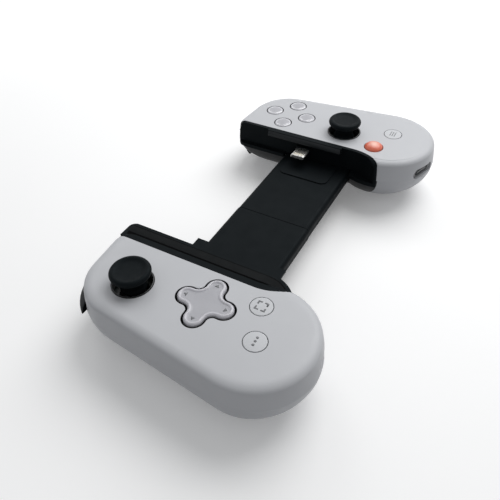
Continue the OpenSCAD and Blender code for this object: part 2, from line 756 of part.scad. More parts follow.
// Left grip
module left_front_shell() { color("whitesmoke") place() left_side() front_shell() control_holes_left(); }
module left_back_shell() { color("whitesmoke") place() left_side() back_shell(); }
module left_cradle() {
    color("dimgray") place() left_side() {
        cradle_body();
        left_rail();
    }
}
module left_stick_well() { color("black") place() left_side() stick_well([left_stick_x, left_stick_y]); }
module left_stick_module() { color("gray") place() left_side() stick_module([left_stick_x, left_stick_y]); }
module left_circuit_board() {
    color("green") place() left_side() sheet(board_bottom, board_h)
        translate([left_stick_x, left_stick_y]) circle(well_r - 1.5);
}
module left_button_membrane() {
    color("gainsboro") place() left_side() sheet(-board_depth, membrane_h) {
        translate([left_stick_x, left_stick_y]) circle(well_r + 2.4);
        translate([dpad_x, dpad_y]) square(2 * dpad_base_half + 1, center = true);
    }
}
module dpad_base() {
    color("dimgray") place() left_side() translate([dpad_x, dpad_y, 0]) difference() {
        union() {
            block([-dpad_base_half, -dpad_base_half, -board_depth], [dpad_base_half, dpad_base_half, -board_depth + 0.5]);
            for (s = [-1, 1]) translate([s * (dpad_lug_in + dpad_lug_out) / 2, 0, 0]) {
                w = dpad_lug_out - dpad_lug_in;
                block([-w / 2, -dpad_lug_r, -board_depth], [w / 2, dpad_lug_r, dpad_pivot_z]);
                rod_x(-w / 2, w / 2, 0, dpad_pivot_z, dpad_lug_r);
            }
        }
        rod_x(-far, far, 0, dpad_pivot_z, dpad_pin_r + pin_gap);
    }
}
module headphone_jack() {
    color("dimgray") place() left_side() port_frame() translate([grip_r - port_set, 0, 0]) rotate([0, 90, 0])
        difference() {
            linear_extrude(port_len) port_plan();
            translate([0, 0, port_floor]) cylinder(r = jack_r, h = port_len);
        }
}
module left_case_screws() { color("darkgray") place() left_side() case_screws(); }
module left_bridge_cover() {
    color("dimgray") place() left_side() {
        translate([bridge_seam, 0, 0]) bridge_section(bridge_w, true);
        bridge_post(spring_y[1]);
        translate([0, 0, -floor_depth - bridge_plate + 0.1]) linear_extrude(bridge_plate - 0.1)
            for (f = [[bridge_low_y - 1.8, flange_low_w], [bridge_low_y + bridge_w - 3, flange_high_w]])
                translate([flange_x, f[0]]) square([inner_x - rail_w - flange_x, f[1]]);
    }
}
module left_bridge_back() {
    color("dimgray") place() left_side() translate([bridge_seam, 0, 0]) bridge_section(bridge_w, false);
}
module left_trigger_pin() { color("silver") place() left_side() trigger_pin(); }
module left_trigger_spring() { color("silver") place() left_side() trigger_spring(); }

// Sliding core of the bridge, with a channel for each return spring and one for the cable
module bridge_core() {
    color("dimgray") place() difference() {
        block([-core_half, bridge_mid_y - core_w / 2, core_top_z - core_h],
              [core_half, bridge_mid_y + core_w / 2, core_top_z]);
        for (s = [0, 1]) mirror([s, 0, 0])
            block([-spring_far, spring_y[s] - channel_w / 2, core_top_z - core_h + channel_floor],
                  [far, spring_y[s] + channel_w / 2, 1]);
        block([-far, bridge_mid_y - 5, core_top_z - 1], [far, bridge_mid_y + 5, 1]);
    }
}
module flex_cable() {
    color("peru") place() block([-core_half, bridge_mid_y - 4.5, core_top_z - 1],
                                [core_half, bridge_mid_y + 4.5, core_top_z - 0.75]);
}
module right_return_spring() { color("silver") place() return_spring(spring_y[0]); }
module left_return_spring() { color("silver") place() left_side() return_spring(spring_y[1]); }

// Thumb sticks
module right_stick_frame() { color("gray") place() stick_frame([right_stick_x, right_stick_y]); }
module right_stick_gimbal() { color("gray") place() stick_gimbal([right_stick_x, right_stick_y]); }
module right_stick_shaft() { color("silver") place() stick_shaft([right_stick_x, right_stick_y]); }
module right_stick_cap() { color("black") place() stick_cap([right_stick_x, right_stick_y]); }
module left_stick_frame() { color("gray") place() left_side() stick_frame([left_stick_x, left_stick_y]); }
module left_stick_gimbal() { color("gray") place() left_side() stick_gimbal([left_stick_x, left_stick_y]); }
module left_stick_shaft() { color("silver") place() left_side() stick_shaft([left_stick_x, left_stick_y]); }
module left_stick_cap() { color("black") place() left_side() stick_cap([left_stick_x, left_stick_y]); }

// Buttons
module face_button(a) {
    color("lavender") place() button([face_x, face_y] + face_pitch * [cos(a), sin(a)], face_hole_r, face_crown, 0.9);
}
module face_button_north() { face_button(90); }
module face_button_east() { face_button(0); }
module face_button_south() { face_button(270); }
module face_button_west() { face_button(180); }
module home_button() { color("orangered") place() button(home_pos, home_hole_r, home_crown, 1.3); }
module menu_button() { color("whitesmoke") place() button(menu_pos, small_hole_r, small_crown, 0.15); }
module capture_button() {
    color("whitesmoke") place() left_side() button(capture_pos, small_hole_r, small_crown, 0.15);
}
module options_button() {
    color("whitesmoke") place() left_side() button(options_pos, small_hole_r, small_crown, 0.15);
}
module dpad_pivot() {
    color("silver") place() left_side() translate([dpad_x, dpad_y, 0]) {
        rod_x(-dpad_pin_reach, dpad_pin_reach, 0, dpad_pivot_z, dpad_pin_r);
        rod_y(0, -dpad_pin_reach, dpad_pin_reach, dpad_pivot_z, dpad_pin_r);
    }
}
module dpad() {
    color("lavender") place() left_side() translate([dpad_x, dpad_y, 0]) {
        translate([0, 0, dpad_under]) linear_extrude(dpad_top - 0.5 - dpad_under) dpad_plan(dpad_gap);
        translate([0, 0, dpad_top - 0.5 - eps]) linear_extrude(0.5) dpad_plan(dpad_gap + 0.7);
        for (s = [-1, 1]) translate([0, s * (dpad_lug_in + dpad_lug_out) / 2, 0]) difference() {
            w = dpad_lug_out - dpad_lug_in;
            union() {
                block([-dpad_lug_r, -w / 2, dpad_pivot_z], [dpad_lug_r, w / 2, dpad_under + eps]);
                rod_y(0, -w / 2, w / 2, dpad_pivot_z, dpad_lug_r);
            }
            rod_y(0, -far, far, dpad_pivot_z, dpad_pin_r + pin_gap);
        }
    }
}

// Shoulder controls
module right_bumper() { color("black") place() bumper(); }
module left_bumper() { color("black") place() left_side() bumper(); }
module right_trigger() { color("black") place() trigger(); }
module left_trigger() { color("black") place() left_side() trigger(); }

right_front_shell();
right_back_shell();
right_cradle();
right_stick_well();
right_stick_module();
right_circuit_board();
right_button_membrane();
phone_plug();
plug_block();
charging_port();
right_case_screws();
right_bridge_cover();
right_bridge_back();
right_trigger_pin();
right_trigger_spring();
left_front_shell();
left_back_shell();
left_cradle();
left_stick_well();
left_stick_module();
left_circuit_board();
left_button_membrane();
dpad_base();
headphone_jack();
left_case_screws();
left_bridge_cover();
left_bridge_back();
left_trigger_pin();
left_trigger_spring();
bridge_core();
flex_cable();
right_return_spring();
left_return_spring();
right_stick_frame();
right_stick_gimbal();
right_stick_shaft();
right_stick_cap();
left_stick_frame();
left_stick_gimbal();
left_stick_shaft();
left_stick_cap();
face_button_north();
face_button_east();
face_button_south();
face_button_west();
home_button();
menu_button();
capture_button();
options_button();
dpad_pivot();
dpad();
right_bumper();
left_bumper();
right_trigger();
left_trigger();
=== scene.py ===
"""Looks of a clip-on phone controller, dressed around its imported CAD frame.

Lengths are millimetres until mm() is used.
"""
import math

import bmesh
import bpy
from mathutils import Matrix, Vector


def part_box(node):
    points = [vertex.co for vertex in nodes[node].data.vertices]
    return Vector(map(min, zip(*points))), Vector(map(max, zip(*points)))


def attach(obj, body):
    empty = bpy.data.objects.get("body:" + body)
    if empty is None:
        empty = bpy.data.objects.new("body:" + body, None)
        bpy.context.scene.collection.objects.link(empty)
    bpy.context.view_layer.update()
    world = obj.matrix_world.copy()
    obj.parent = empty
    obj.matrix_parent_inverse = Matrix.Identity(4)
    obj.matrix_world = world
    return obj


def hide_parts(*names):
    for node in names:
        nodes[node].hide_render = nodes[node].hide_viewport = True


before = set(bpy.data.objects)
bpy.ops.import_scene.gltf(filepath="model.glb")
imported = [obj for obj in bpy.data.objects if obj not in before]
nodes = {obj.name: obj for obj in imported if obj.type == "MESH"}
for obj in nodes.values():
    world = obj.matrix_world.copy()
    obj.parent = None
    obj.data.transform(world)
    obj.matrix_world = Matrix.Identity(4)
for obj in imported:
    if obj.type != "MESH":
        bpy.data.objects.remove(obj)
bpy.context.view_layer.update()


def mm(*p):
    """A point or length in millimetres, in metres."""
    return Vector(p) * 0.001 if len(p) > 1 else p[0] * 0.001


def centre(node):
    """Middle of a node's box, in millimetres of the row frame."""
    low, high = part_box(node)
    return (Vector(low) + Vector(high)) * 500


# The face frame has its origin in the plane of the buttons; the left stick stands at STICK_Y in it
STICK_Y = 24.9
SHIFT_Y = centre("left_stick_cap").y - STICK_Y
FACE_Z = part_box("right_front_shell")[1][2] * 1000


def face(x, y, z=0.0):
    """A point of the face frame, in metres of the row frame."""
    return mm(x, y + SHIFT_Y, z + FACE_Z)


def on_face(node):
    """Point of the face plane above a node's middle, in metres."""
    c = centre(node)
    return mm(c.x, c.y, FACE_Z)


# Camera, solved from the photograph in the face frame

CAM_PLACE = (-156.93, -77.85, 139.09)
CAM_RIGHT = Vector((0.48490, -0.87409, -0.02894))
CAM_UP = Vector((0.61622, 0.31799, 0.72053))
CAM_LENS, CAM_SENSOR = 38.745, 36
CAM_NEAR, CAM_FAR = 10, 20000


def make_camera():
    data = bpy.data.cameras.new("photo_camera")
    data.sensor_width = CAM_SENSOR
    data.lens = CAM_LENS
    data.clip_start, data.clip_end = mm(CAM_NEAR), mm(CAM_FAR)
    cam = bpy.data.objects.new("photo_camera", data)
    bpy.context.scene.collection.objects.link(cam)
    right = CAM_RIGHT.normalized()
    back = right.cross(CAM_UP).normalized()
    up = back.cross(right)
    turn = Matrix((right, up, back)).transposed().to_4x4()
    cam.matrix_world = Matrix.Translation(face(*CAM_PLACE)) @ turn
    bpy.context.scene.camera = cam


# Materials

NOISE_ROUGH = 0.55
# Half width of the line between the two tones of the back shells
TONE_BLEND = 0.03


class Look:
    """A Principled material with textures in object space."""

    def __init__(self, name, colour, rough, metallic=0.0, **sockets):
        self.mat = bpy.data.materials.new(name)
        self.mat.use_nodes = True
        self.tree = self.mat.node_tree
        self.bsdf = self.tree.nodes["Principled BSDF"]
        self.colour, self.rough = colour, rough
        self.set("Base Color", (*colour, 1))
        self.set("Roughness", rough)
        self.set("Metallic", metallic)
        for key, value in sockets.items():
            self.set(key.replace("_", " "), value)
        self.place = None
        self.tint = None

    def set(self, socket, value):
        self.bsdf.inputs[socket].default_value = value

    def add(self, kind, **props):
        node = self.tree.nodes.new(kind)
        for key, value in props.items():
            setattr(node, key, value)
        return node

    def link(self, a, b):
        self.tree.links.new(a, b)

    def coords(self):
        if self.place is None:
            self.place = self.add("ShaderNodeTexCoord").outputs["Object"]
        return self.place

    def noise(self, size_mm, detail=3.0):
        """Noise whose features are about size_mm across."""
        node = self.add("ShaderNodeTexNoise")
        self.link(self.coords(), node.inputs["Vector"])
        node.inputs["Scale"].default_value = 1000.0 / size_mm
        node.inputs["Detail"].default_value = detail
        node.inputs["Roughness"].default_value = NOISE_ROUGH
        return node.outputs["Fac"]

    def math(self, operation, a, b=None):
        node = self.add("ShaderNodeMath", operation=operation)
        for socket, value in zip(node.inputs, (a, b)):
            if isinstance(value, (int, float)):
                socket.default_value = value
            elif value is not None:
                self.link(value, socket)
        return node.outputs[0]

    def spread(self, value, low, high, start=0.3, stop=0.7, smooth=False):
        """Maps start..stop of a value to low..high."""
        kind = "SMOOTHSTEP" if smooth else "LINEAR"
        node = self.add("ShaderNodeMapRange", interpolation_type=kind)
        self.link(value, node.inputs["Value"])
        for key, v in (("From Min", start), ("From Max", stop), ("To Min", low), ("To Max", high)):
            node.inputs[key].default_value = v
        return node.outputs["Result"]

    def mix(self, share, a, b):
        """Colour a where share is 0, b where it is 1; each is a colour or a socket."""
        node = self.add("ShaderNodeMix", data_type="RGBA")
        self.link(share, node.inputs["Factor"])
        for socket, value in ((node.inputs[6], a), (node.inputs[7], b)):
            if isinstance(value, tuple):
                socket.default_value = (*value, 1)
            else:
                self.link(value, socket)
        return node.outputs[2]

    def mottle(self, size_mm, amount):
        """Slow change of the colour's lightness."""
        low, high = (tuple(min(1.0, c * (1 + s * amount)) for c in self.colour) for s in (-1, 1))
        self.tint = self.mix(self.spread(self.noise(size_mm), 0, 1), low, high)
        self.link(self.tint, self.bsdf.inputs["Base Color"])
        return self

    def vary_rough(self, size_mm, amount):
        """Slow change of the roughness."""
        rough = self.spread(self.noise(size_mm, 4), self.rough - amount, self.rough + amount)
        self.link(rough, self.bsdf.inputs["Roughness"])
        return self

    def grain(self, size_mm, depth_mm, strength):
        """Fine moulded grain."""
        height = self.noise(size_mm, 2.0)
        node = self.add("ShaderNodeBump")
        node.inputs["Strength"].default_value = strength
        node.inputs["Distance"].default_value = mm(depth_mm)
        self.link(height, node.inputs["Height"])
        self.link(node.outputs["Normal"], self.bsdf.inputs["Normal"])
        return self

    def axes(self):
        node = self.add("ShaderNodeSeparateXYZ")
        self.link(self.coords(), node.inputs[0])
        return node.outputs

    def away_from(self, x_mm, y_mm, below_only=False):
        """Distance in metres from an upright axis, or from a line that runs up from it along Y."""
        x, y, _ = self.axes()
        dx = self.math("SUBTRACT", self.math("ABSOLUTE", x), mm(x_mm))
        dy = self.math("SUBTRACT", y, mm(y_mm))
        if below_only:
            dy = self.math("MINIMUM", dy, 0.0)
        square = self.math("ADD", self.math("MULTIPLY", dx, dx), self.math("MULTIPLY", dy, dy))
        return self.math("SQRT", square)

    def logo_and_highlight_tone(self, colour, inner_mm, outer_mm):
        """Another colour round the piece's own axis, blended outwards; on the home button it stands for a pale
        printed mark and a painted highlight.
        """
        share = self.spread(self.away_from(0, 0), 1, 0, mm(inner_mm), mm(outer_mm), smooth=True)
        self.link(self.mix(share, self.tint, colour), self.bsdf.inputs["Base Color"])
        return self

    def two_tone(self, colour, corner, radius_mm):
        """Another colour on the phone's side of a line that turns round a corner below."""
        share = self.spread(self.away_from(corner[0], corner[1] + SHIFT_Y, True), 1, 0,
                            mm(radius_mm - TONE_BLEND), mm(radius_mm + TONE_BLEND))
        self.link(self.mix(share, self.tint, colour), self.bsdf.inputs["Base Color"])
        return self


SHELL_WHITE = (0.535, 0.543, 0.565)
PLASTIC_BLACK = (0.0043, 0.0054, 0.0062)
# Black plastic and rubber reflect slightly blue
COOL_SHEEN = (0.74, 0.92, 1.0, 1)
# Phone side of the back shells: black within this radius of a line that ends at this point of
# the face frame
PHONE_SIDE = ((27.8, -9.8), 23.7)


def shell_look(name):
    return (Look(name, SHELL_WHITE, 0.42, Specular_IOR_Level=0.36)
            .mottle(22, 0.012).vary_rough(6, 0.05).grain(0.35, 0.010, 0.3))


def make_looks():
    looks = {
        "shell": shell_look("white_shell"),
        "back_shell": shell_look("white_back").two_tone(PLASTIC_BLACK, *PHONE_SIDE),
        "black": Look("black_plastic", PLASTIC_BLACK, 0.5, Specular_IOR_Level=0.05,
                      Specular_Tint=COOL_SHEEN)
        .mottle(14, 0.10).vary_rough(5, 0.06).grain(0.3, 0.012, 0.4),
        "pad": Look("rail_pad", (0.0072, 0.0082, 0.0088), 0.62, Specular_IOR_Level=0.045)
        .mottle(9, 0.10).vary_rough(4, 0.05).grain(0.22, 0.012, 0.5),
        # Lip pad: the same black plastic painted about four times lighter, painted light on the lip band that
        # the lamps leave in shade
        "lip": Look("lip_pad_painted_light", (0.017, 0.019, 0.021), 0.6, Specular_IOR_Level=0.15)
        .mottle(6, 0.1).vary_rough(3, 0.05).grain(0.22, 0.012, 0.5),
        # Near-black look of the strips and rings that paint the shade in the button and pad gaps, in the
        # rail's groove and at its step
        "groove": Look("painted_shade_black", (0.0018, 0.0019, 0.002), 0.7, Specular_IOR_Level=0.03)
        .mottle(3, 0.1),
        "rubber": Look("stick_rubber", (0.0040, 0.0050, 0.0058), 0.5, Specular_IOR_Level=0.062,
                       Specular_Tint=COOL_SHEEN)
        .mottle(5, 0.12).vary_rough(2, 0.06).grain(0.2, 0.012, 0.45),
        # Stick well: real gloss from its specular level, and a base colour about four times lighter than the
        # black plastic, a painted reflection on its walls
        "gloss": Look("well_gloss_painted_reflection", (0.020, 0.021, 0.022), 0.34, Specular_IOR_Level=0.5)
        .mottle(8, 0.10).vary_rough(4, 0.04),
        "clear": Look("clear_rim", (0.60, 0.60, 0.635), 0.16, Coat_Weight=0.35, Coat_Roughness=0.06)
        .mottle(7, 0.02).vary_rough(3, 0.03),
        "core": Look("clear_core", (0.43, 0.43, 0.46), 0.24, Coat_Weight=0.4, Coat_Roughness=0.08)
        .mottle(3, 0.04).vary_rough(2, 0.04),
        "dpad": Look("pad_clear", (0.535, 0.53, 0.565), 0.26, Coat_Weight=0.22, Coat_Roughness=0.1)
        .mottle(9, 0.02).vary_rough(3, 0.04),
        "dpad_floor": Look("pad_floor", (0.385, 0.385, 0.414), 0.34, Coat_Weight=0.1,
                           Coat_Roughness=0.15)
        .mottle(7, 0.03).vary_rough(3, 0.04),
        # Home button: its pale middle tone stands for the pale printed mark and a painted highlight on the
        # dome's top
        "orange": Look("home_orange", (0.74, 0.150, 0.080), 0.36, Coat_Weight=0.2, Coat_Roughness=0.25)
        .mottle(4, 0.04).vary_rough(2, 0.03).logo_and_highlight_tone((0.88, 0.50, 0.40), 0.2, 3.3),
        "button": Look("white_button", (0.575, 0.585, 0.605), 0.42, Specular_IOR_Level=0.35)
        .mottle(9, 0.012).vary_rough(3, 0.04).grain(0.3, 0.01, 0.3),
        "print": Look("grey_print", (0.20, 0.204, 0.212), 0.5, Specular_IOR_Level=0.3)
        .mottle(1.2, 0.08).vary_rough(1, 0.05),
        "inner": Look("inner_plastic", (0.012, 0.012, 0.013), 0.5).mottle(4, 0.1).vary_rough(2, 0.05),
        "board": Look("circuit_board", (0.006, 0.010, 0.008), 0.4).mottle(3, 0.15).vary_rough(1.5, 0.08),
        "membrane": Look("silicone_membrane", (0.30, 0.30, 0.30), 0.55).mottle(5, 0.03).vary_rough(2, 0.05),
        "steel": Look("plain_steel", (0.55, 0.55, 0.56), 0.28, 1.0).mottle(2, 0.05).vary_rough(0.8, 0.08),
        "plug": Look("plated_plug", (0.80, 0.79, 0.76), 0.3, 1.0).mottle(2, 0.04).vary_rough(0.7, 0.06),
        "contact": Look("pale_contact", (0.66, 0.60, 0.48), 0.25, 1.0).mottle(0.8, 0.05).vary_rough(0.5, 0.05),
        "port": Look("port_grey", (0.19, 0.194, 0.20), 0.45).mottle(3, 0.06).vary_rough(1.5, 0.05),
        "cable": Look("flat_cable", (0.22, 0.075, 0.012), 0.32).mottle(6, 0.08).vary_rough(3, 0.05),
    }
    return {k: v.mat for k, v in looks.items()}


LOOKS = make_looks()
# Looks of the CAD nodes by how their names end; the others are black plastic
LOOK_ENDS = {
    "shell": ("front_shell",),
    "back_shell": ("back_shell",),
    "gloss": ("stick_well",),
    "button": ("menu_button", "capture_button", "options_button"),
    "board": ("circuit_board",),
    "membrane": ("membrane",),
    "steel": ("_spring", "_pin", "_screws", "stick_shaft", "dpad_pivot"),
    "port": ("charging_port", "headphone_jack"),
    "plug": ("phone_plug",),
    "cable": ("flex_cable",),
    "inner": ("stick_module", "stick_frame", "stick_gimbal", "plug_block", "dpad_base"),
}


def look_of(name):
    return next((look for look, ends in LOOK_ENDS.items() if name.endswith(ends)), "black")


# Dressing of the CAD nodes

EDGE_ROUND = {"shell": 0.12, "back_shell": 0.12, "black": 0.2, "gloss": 0.15, "button": 0.15,
              "plug": 0.15, "port": 0.15}
EDGE_ANGLE, EDGE_STEPS = 32, 2
WELD_GAP, NORMAL_WEIGHT = 0.002, 60


def dress(name, obj):
    """Gives a CAD node its material, rounded edges and smooth shading."""
    kind = look_of(name)
    obj.data.materials.clear()
    obj.data.materials.append(LOOKS[kind])
    for p in obj.data.polygons:
        p.use_smooth = True
    weld = obj.modifiers.new("weld", "WELD")
    weld.merge_threshold = mm(WELD_GAP)
    if kind in EDGE_ROUND:
        bevel = obj.modifiers.new("edges", "BEVEL")
        bevel.limit_method = "ANGLE"
        bevel.angle_limit = math.radians(EDGE_ANGLE)
        bevel.width = mm(EDGE_ROUND[kind])
        bevel.segments = EDGE_STEPS
        bevel.use_clamp_overlap = True
    normals = obj.modifiers.new("normals", "WEIGHTED_NORMAL")
    normals.weight = NORMAL_WEIGHT


# Pieces made here

SOFTEN_ROUNDS = 2


def add_piece(name, bm, at, looks, body, stands_for=None):
    """Turns a bmesh in millimetres about its own place into a piece that rides on a body."""
    mesh = bpy.data.meshes.new(name)
    bmesh.ops.scale(bm, vec=(0.001,) * 3, verts=bm.verts)
    bmesh.ops.recalc_face_normals(bm, faces=bm.faces)
    bm.to_mesh(mesh)
    bm.free()
    for look in looks:
        mesh.materials.append(LOOKS[look])
    for p in mesh.polygons:
        p.use_smooth = True
    obj = bpy.data.objects.new(name, mesh)
    obj.location = at
    bpy.context.scene.collection.objects.link(obj)
    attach(obj, body)
    if stands_for:
        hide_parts(stands_for)


def turns(steps):
    """Angles of a full turn in equal steps."""
    return [2 * math.pi * i / steps for i in range(steps)]


def soften(points):
    """Cuts the corners of an open line, keeping its ends."""
    points = [Vector(p) for p in points]
    for _ in range(SOFTEN_ROUNDS):
        cut = [points[0]]
        for a, b in zip(points, points[1:]):
            cut += [a.lerp(b, 0.25), a.lerp(b, 0.75)]
        points = cut + [points[-1]]
    return points


def solid_profile(*lines):
    """Softened lines of (radius, height) points end to end, closed to the axis below the last."""
    points = soften(lines[0])
    for line in lines[1:]:
        points += soften(line)[1:]
    return points + [Vector((0, lines[-1][-1][1]))]


def lathe(profile, steps=96, bands=()):
    """Solid of revolution of (radius, height) points that start and end on the axis. Faces outside
    bands[i] take material i + 1."""
    bm = bmesh.new()
    rings = []
    for r, z in profile:
        if r < 1e-6:
            rings.append([bm.verts.new((0, 0, z))])
        else:
            rings.append([bm.verts.new((r * math.cos(a), r * math.sin(a), z)) for a in turns(steps)])
    for (p, q), ring, other in zip(zip(profile, profile[1:]), rings, rings[1:]):
        band = sum((p[0] + q[0]) / 2 > b for b in bands)
        for i in range(steps):
            j = (i + 1) % steps
            quad = [ring[i % len(ring)], ring[j % len(ring)], other[j % len(other)], other[i % len(other)]]
            f = bm.faces.new(list(dict.fromkeys(quad)))
            f.material_index = band
    return bm


def join_rings(bm, rings, closed=False):
    """Faces between neighbouring rings, as a list for each pair. Closed joins the last to the first."""
    others = rings[1:] + rings[:1] if closed else rings[1:]
    bands = []
    for ring, other in zip(rings, others):
        after = ring[1:] + ring[:1]
        other_after = other[1:] + other[:1]
        bands.append([bm.faces.new(quad) for quad in zip(ring, after, other_after, other)])
    return bands


def ring_band(section, steps=72):
    """Closed ring of (radius, height) points."""
    bm = bmesh.new()
    rings = [[bm.verts.new((r * math.cos(a), r * math.sin(a), z)) for a in turns(steps)]
             for r, z in section]
    join_rings(bm, rings, closed=True)
    return bm


def bar(x0, x1, y0, y1):
    return [(x0, y0), (x1, y0), (x1, y1), (x0, y1)]


def plate(outline, low, high, edge):
    """Flat plate of an outline with its upper edge rounded."""
    bm = bmesh.new()
    bm.faces.new([bm.verts.new((*p, low)) for p in outline])
    top = bmesh.ops.extrude_face_region(bm, geom=list(bm.faces))
    for v in top["geom"]:
        if isinstance(v, bmesh.types.BMVert):
            v.co.z = high
    rim = [e for e in bm.edges if all(abs(v.co.z - high) < 1e-6 for v in e.verts)]
    bmesh.ops.bevel(bm, geom=rim, offset=edge, segments=3, affect="EDGES", profile=0.5)
    return bm


# Thumb sticks: dished cap over two rims, waist and flared skirt in the well

CAP_PROFILE = [(0, 5.75), (2.6, 5.78), (4.5, 5.95), (5.4, 6.3), (6.1, 6.55), (6.95, 6.35), (7.5, 5.6),
               (7.5, 4.9), (7.2, 4.5), (6.72, 4.32), (6.7, 4.15), (6.8, 4.0), (6.5, 3.72), (5.6, 3.6)]
NECK_PROFILE = [(5.6, 3.6), (4.5, 3.45), (4.05, 2.8), (4.0, 0.6), (4.1, -0.6), (4.6, -1.4),
                (4.9, -2.0), (4.85, -2.3), (4.2, -2.0), (3.4, -2.6)]


def make_sticks():
    for side in ("left", "right"):
        node = f"{side}_stick_cap"
        add_piece(f"{side}_stick_grip", lathe(solid_profile(CAP_PROFILE, NECK_PROFILE)), on_face(node),
                  ["rubber"], f"{side}_stick", node)


# Round buttons: clear crowned caps over a darker core, each ringed by painted gap shade, and the domed home
# button

FACE_PROFILE = [(0, 0.52), (1.4, 0.5), (2.3, 0.44), (2.65, 0.36), (2.8, 0.28), (2.95, 0.35),
                (3.4, 0.28), (3.75, 0.1), (3.92, -0.08), (3.98, -0.3), (3.98, -1.95)]
CORE_R = 2.8
FACE_HOLE_R = 4.39
# Section of the near-black ring of painted shade in a button's gap, as (distance in from the hole's wall,
# height)
FACE_SHADE_RING = ((0.34, -0.25), (0.01, -0.25), (0.01, -0.9), (0.34, -0.9))
HOME_PROFILE = [(0, 1.95), (1.4, 1.85), (2.7, 1.45), (3.5, 0.92), (4.0, 0.4), (4.15, -0.1),
                (4.15, -1.95)]
BUTTON_STEPS = 72


def make_round_buttons():
    for way in ("north", "east", "south", "west"):
        node = f"face_button_{way}"
        add_piece(f"face_{way}_cap", lathe(solid_profile(FACE_PROFILE), BUTTON_STEPS, (CORE_R,)),
                  on_face(node), ["core", "clear"], node, node)
        # Near-black ring under the button's gap: painted shade in the gap
        shade_ring = ring_band([(FACE_HOLE_R - g, z) for g, z in FACE_SHADE_RING], BUTTON_STEPS)
        add_piece(f"face_{way}_seal", shade_ring, on_face(node), ["groove"], "right_grip")
    add_piece("home_cap", lathe(solid_profile(HOME_PROFILE), BUTTON_STEPS), on_face("home_button"),
              ["orange"], "home_button", "home_button")


# Direction pad: a cross with a crested rim round a sunken middle

PAD_SPAN, PAD_ARM, PAD_FILLET = 23.5, 8.76, 2.2
# Rim as (distance in from the opening, height), and where its floor begins
PAD_PROFILE = [(0.8, -0.6), (0.8, 0.0), (0.9, 0.38), (1.2, 0.72), (1.6, 0.87), (1.95, 0.8),
               (2.2, 0.6), (2.5, 0.5), (2.9, 0.48)]
PAD_FLOOR_IN = 2.15
# Section of the near-black ring of painted shade in the pad's gap, as (distance in from the opening, height)
PAD_SHADE_RING = ((0.02, -0.25), (0.5, -0.25), (0.5, -0.8), (0.02, -0.8))
PAD_MARK_TIP, PAD_MARK_BASE, PAD_MARK_HALF = 8.8, 7.45, 0.92
PAD_ARC_STEPS = 12


def cross_ring(inset):
    """Outline of the pad's opening set in by a distance, the same number of points for any inset."""
    end = (PAD_SPAN - PAD_ARM) / 2
    corner = PAD_ARM / 2 + PAD_FILLET
    ring = []
    for quarter in range(4):
        turn = Matrix.Rotation(quarter * math.pi / 2, 2)
        for centre_at, r, a0, a1 in (((end, 0), PAD_ARM / 2 - inset, -90, 90),
                                     ((corner, corner), PAD_FILLET + inset, 270, 180)):
            for i in range(PAD_ARC_STEPS + 1):
                a = math.radians(a0 + (a1 - a0) * i / PAD_ARC_STEPS)
                ring.append(turn @ (Vector(centre_at) + r * Vector((math.cos(a), math.sin(a)))))
    return ring


def cross_rings(bm, section):
    """Rings of vertices for (distance in from the opening, height) points."""
    return [[bm.verts.new((*p, z)) for p in cross_ring(inset)] for inset, z in section]


def make_dpad():
    bm = bmesh.new()
    profile = soften(PAD_PROFILE)
    rings = cross_rings(bm, profile)
    for (inset, _), band in zip(profile, join_rings(bm, rings)):
        for f in band:
            f.material_index = int(inset > PAD_FLOOR_IN)
    bm.faces.new(rings[-1]).material_index = 1
    bm.faces.new(rings[0][::-1])
    add_piece("dpad_cross", bm, on_face("dpad"), ["dpad", "dpad_floor"], "dpad", "dpad")

    # Near-black ring under the pad's gap: painted shade in the gap
    shade_ring = bmesh.new()
    join_rings(shade_ring, cross_rings(shade_ring, PAD_SHADE_RING), closed=True)
    add_piece("dpad_shade_ring", shade_ring, on_face("dpad"), ["groove"], "left_grip")

    arrow = ((PAD_MARK_TIP, 0), (PAD_MARK_BASE, PAD_MARK_HALF), (PAD_MARK_BASE, -PAD_MARK_HALF))
    marks = [[turn @ Vector(p) for p in arrow]
             for turn in (Matrix.Rotation(q * math.pi / 2, 2) for q in range(4))]
    stamp("dpad_marks", marks, lambda r: PAD_PROFILE[-1][1], on_face("dpad"), "dpad")


# Printed marks on the pad and the small buttons

PRINT_LIFT = 0.02
SMALL_CROWN, SMALL_DOME, SMALL_R = 0.2, 0.15, 3.97
BRACKET_HALF, BRACKET_ARM, BRACKET_STROKE = 2.05, 1.6, 0.6
DOT_PITCH, DOT_R, DOT_STEPS = 1.55, 0.5, 20
LINE_LENGTH, LINE_PITCH, LINE_STROKE, LINE_CUTS = 3.8, 1.05, 0.34, 6


def small_top(r):
    """Height of a small button's crown at a distance from its middle."""
    return SMALL_CROWN - SMALL_DOME * (r / SMALL_R) ** 2


def stamp(name, outlines, height_of, at, body):
    """Thin printed marks that lie on a crowned face."""
    bm = bmesh.new()
    for outline in outlines:
        tops, lows = ([bm.verts.new((*p, height_of(Vector(p).length) + lift)) for p in outline]
                      for lift in (PRINT_LIFT, -PRINT_LIFT))
        bm.faces.new(tops)
        bm.faces.new(lows[::-1])
        join_rings(bm, [lows, tops])
    add_piece(name, bm, at, ["print"], body)


